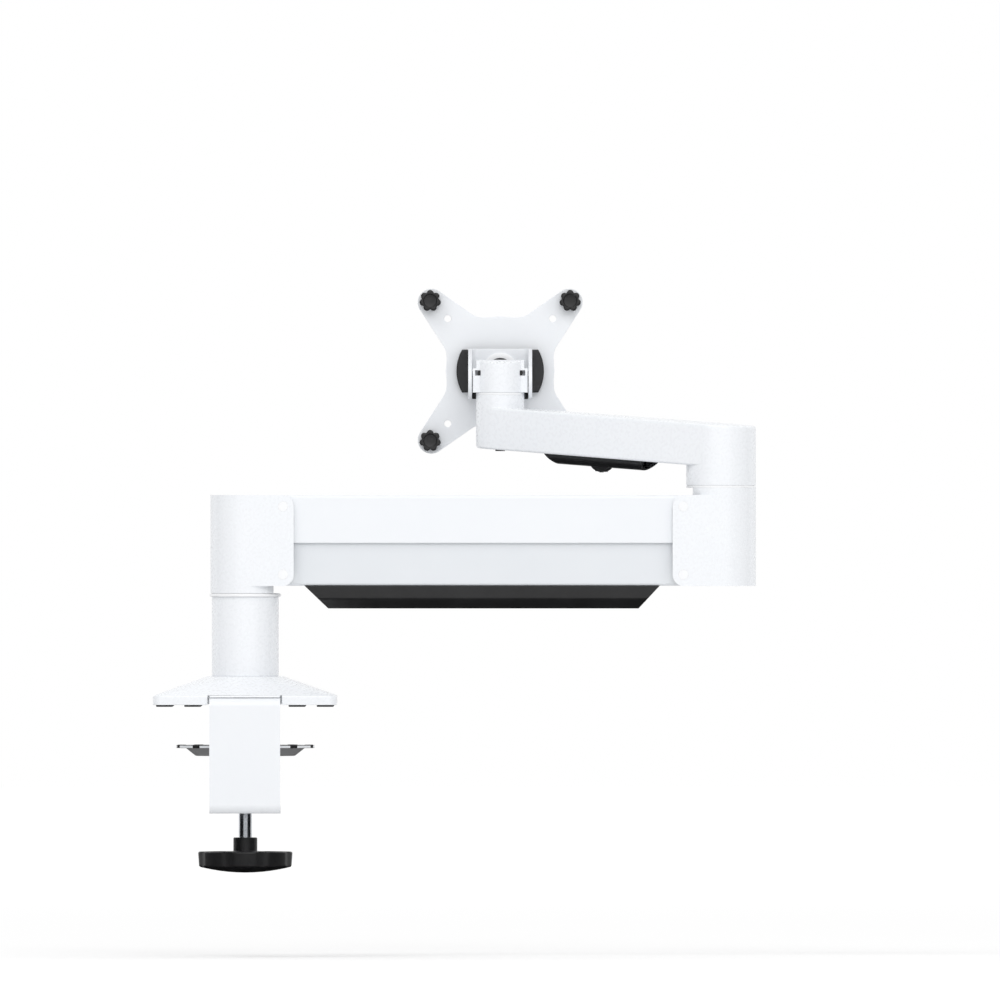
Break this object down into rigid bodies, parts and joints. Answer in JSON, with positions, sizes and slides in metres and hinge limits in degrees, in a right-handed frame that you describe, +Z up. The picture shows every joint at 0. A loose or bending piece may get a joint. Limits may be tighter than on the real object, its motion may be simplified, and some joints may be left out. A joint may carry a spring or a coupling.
{
  "type": "monitor arm",
  "caption": "Desk-clamp monitor arm: swivel post, gas-spring parallelogram beam, swinging extension arm and tilting, turning display plate.",
  "frame": {"origin": "on the post axis at the desk top, in the plane of the pads' undersides", "axes": "+Z up, +X from the post along the spring beam, +Y towards the display side of the mounting plate"},
  "size_m": [0.4281, 0.2014, 0.4159],
  "materials": {
    "white_coated_casting": "satin white powder coat on aluminium die castings and tube",
    "white_powder_coat": "satin white powder coat on pressed and folded steel",
    "grey_white_powder_coat": "satin pale grey-white powder coat",
    "white_acetal": "moulded white acetal",
    "black_plastic": "fine-grained moulded black nylon",
    "black_rubber": "moulded black rubber",
    "bearing_acetal": "natural acetal bearing",
    "bright_zinc_steel": "bright zinc-plated turned steel",
    "grey_painted_steel": "grey-coated pressed steel",
    "black_oxide_steel": "black oxide screw steel",
    "black_painted_cylinder": "black-painted steel tube",
    "hard_chrome_rod": "ground hard-chromed rod"
  },
  "bodies": {
    "base": {"base_foot": "white_coated_casting", "foot_pads": "black_rubber", "clamp_bracket": "white_powder_coat", "bracket_pad": "black_rubber", "bracket_screws": "black_oxide_steel", "clamp_nut": "bright_zinc_steel", "post_tube": "white_coated_casting", "post_spindle": "bright_zinc_steel", "post_bolt": "black_oxide_steel", "post_washer": "white_acetal", "shoulder_nut": "bright_zinc_steel"},
    "clamp_plate": {"pressure_plate": "grey_painted_steel", "pressure_plugs": "black_rubber"},
    "clamp_handle": {"clamp_screw": "bright_zinc_steel", "clamp_knob": "black_plastic", "screw_retainer": "bright_zinc_steel"},
    "rear_cap": {"rear_end_cap": "white_coated_casting", "shoulder_bushes": "bearing_acetal", "rear_pivot_pins": "bright_zinc_steel", "rear_plugs": "white_acetal", "rear_spacers": "bearing_acetal", "tension_nut": "bright_zinc_steel"},
    "tension_adjuster": {"tension_screw": "black_oxide_steel"},
    "upper_link": {"upper_channel": "white_powder_coat", "upper_bushes": "bearing_acetal", "gas_cylinder": "black_painted_cylinder", "cylinder_gland": "black_painted_cylinder", "cylinder_pin": "bright_zinc_steel"},
    "spring_rod": {"gas_rod": "hard_chrome_rod", "rod_fork": "bright_zinc_steel"},
    "lower_link": {"lower_channel": "grey_white_powder_coat", "lower_bushes": "bearing_acetal", "cable_tray": "black_plastic"},
    "front_cap": {"front_end_cap": "white_coated_casting", "elbow_bushes": "bearing_acetal", "front_pivot_pins": "bright_zinc_steel", "front_plugs": "white_acetal", "front_spacers": "bearing_acetal", "elbow_washer": "white_acetal"},
    "arm": {"extension_arm": "white_coated_casting", "elbow_spindle": "bright_zinc_steel", "elbow_nut": "bright_zinc_steel", "cable_clip": "black_plastic", "wrist_bushes": "bearing_acetal", "wrist_washer": "white_acetal"},
    "tilt_head": {"tilt_block": "white_coated_casting", "wrist_spindle": "bright_zinc_steel", "wrist_bolt": "black_oxide_steel", "tilt_axle": "black_oxide_steel", "tilt_washers": "black_plastic"},
    "tilt_yoke": {"tilt_bracket": "white_powder_coat", "tilt_stop": "black_rubber", "friction_disc": "black_plastic", "pivot_bolt": "black_oxide_steel", "pivot_washer": "white_acetal"},
    "display_plate": {"vesa_plate": "white_powder_coat"},
    "thumbscrew_1": {"thumbscrew_1": "black_plastic"},
    "thumbscrew_2": {"thumbscrew_2": "black_plastic"},
    "thumbscrew_3": {"thumbscrew_3": "black_plastic"},
    "thumbscrew_4": {"thumbscrew_4": "black_plastic"}
  },
  "joints": [
    {"name": "shoulder", "type": "hinge", "parent": "base", "child": "rear_cap", "pos_m": [0, 0, 0.11795], "axis": [0, 0, 1], "range_deg": [-180, 180]},
    {"name": "lift", "type": "hinge", "parent": "rear_cap", "child": "upper_link", "pos_m": [0.0269, 0, 0.14215], "axis": [0, -1, 0], "range_deg": [-25, 38]},
    {"name": "lower_link_pivot", "type": "hinge", "parent": "rear_cap", "child": "lower_link", "pos_m": [0.0269, 0, 0.09375], "axis": [0, -1, 0], "range_deg": [-25, 38]},
    {"name": "front_level", "type": "hinge", "parent": "upper_link", "child": "front_cap", "pos_m": [0.3112, 0, 0.14215], "axis": [0, -1, 0], "range_deg": [-38, 25]},
    {"name": "spring_slide", "type": "slide", "parent": "upper_link", "child": "spring_rod", "axis": [-1, 0, 0], "range_m": [-0.0047, 0.007]},
    {"name": "tension_turn", "type": "hinge", "parent": "rear_cap", "child": "tension_adjuster", "pos_m": [0.0269, 0, 0.14], "axis": [0, 0, 1], "continuous": true},
    {"name": "elbow", "type": "hinge", "parent": "front_cap", "child": "arm", "pos_m": [0.3381, 0, 0.16], "axis": [0, 0, 1], "range_deg": [-301.4, 0]},
    {"name": "wrist", "type": "hinge", "parent": "arm", "child": "tilt_head", "pos_m": [0.18113, 0.08809, 0.205], "axis": [0, 0, 1], "range_deg": [-29.3, 150.7]},
    {"name": "tilt", "type": "hinge", "parent": "tilt_head", "child": "tilt_yoke", "pos_m": [0.18113, 0.08809, 0.2313], "axis": [1, 0, 0], "range_deg": [-10, 80]},
    {"name": "plate_turn", "type": "hinge", "parent": "tilt_yoke", "child": "display_plate", "pos_m": [0.18113, 0.13189, 0.2388], "axis": [0, 1, 0], "range_deg": [-90, 90]},
    {"name": "clamp_travel", "type": "slide", "parent": "base", "child": "clamp_plate", "axis": [0, 0, 1], "range_m": [-0.027, 0.0165]},
    {"name": "clamp_turn", "type": "hinge", "parent": "clamp_plate", "child": "clamp_handle", "pos_m": [0, 0, -0.06], "axis": [0, 0, 1], "range_deg": [-6480, 3960]},
    {"name": "thumbscrew_1_turn", "type": "hinge", "parent": "display_plate", "child": "thumbscrew_1", "pos_m": [0.13113, 0.13339, 0.2888], "axis": [0, 1, 0], "continuous": true},
    {"name": "thumbscrew_2_turn", "type": "hinge", "parent": "display_plate", "child": "thumbscrew_2", "pos_m": [0.23113, 0.13339, 0.2888], "axis": [0, 1, 0], "continuous": true},
    {"name": "thumbscrew_3_turn", "type": "hinge", "parent": "display_plate", "child": "thumbscrew_3", "pos_m": [0.13113, 0.13339, 0.1888], "axis": [0, 1, 0], "continuous": true},
    {"name": "thumbscrew_4_turn", "type": "hinge", "parent": "display_plate", "child": "thumbscrew_4", "pos_m": [0.23113, 0.13339, 0.1888], "axis": [0, 1, 0], "continuous": true}
  ],
  "couplings": [
    {"joint": "lower_link_pivot", "follows": "lift", "ratio": 1},
    {"joint": "front_level", "follows": "lift", "ratio": -1},
    {"joint": "spring_slide", "follows": "lift", "m_per_rad": 0.01021},
    {"joint": "clamp_travel", "follows": "clamp_turn", "m_per_rad": 0.00023873}
  ]
}
